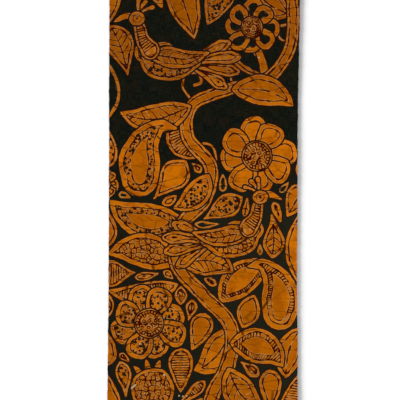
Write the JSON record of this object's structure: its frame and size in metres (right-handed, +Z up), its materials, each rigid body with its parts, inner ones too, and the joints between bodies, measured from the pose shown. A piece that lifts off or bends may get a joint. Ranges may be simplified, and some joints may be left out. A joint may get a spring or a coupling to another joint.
{
  "type": "batik cloth",
  "caption": "Flat length of hand-dyed batik cotton laid face up, with slightly wavy sides that stand a few millimetres off the surface.",
  "frame": {"origin": "centre of the cloth's outline, on the surface that it lies on", "axes": "+X across the cloth, +Y along it towards the head end, +Z up, out of its face"},
  "size_m": [0.4562, 1, 0.0092],
  "materials": {
    "dyed_cotton": "matte plain-weave cotton, wax-resist dyed: burnt orange shapes with greenish black lines and ground, the same on both sides"
  },
  "bodies": {
    "root": {"batik_cloth": "dyed_cotton"}
  },
  "joints": []
}
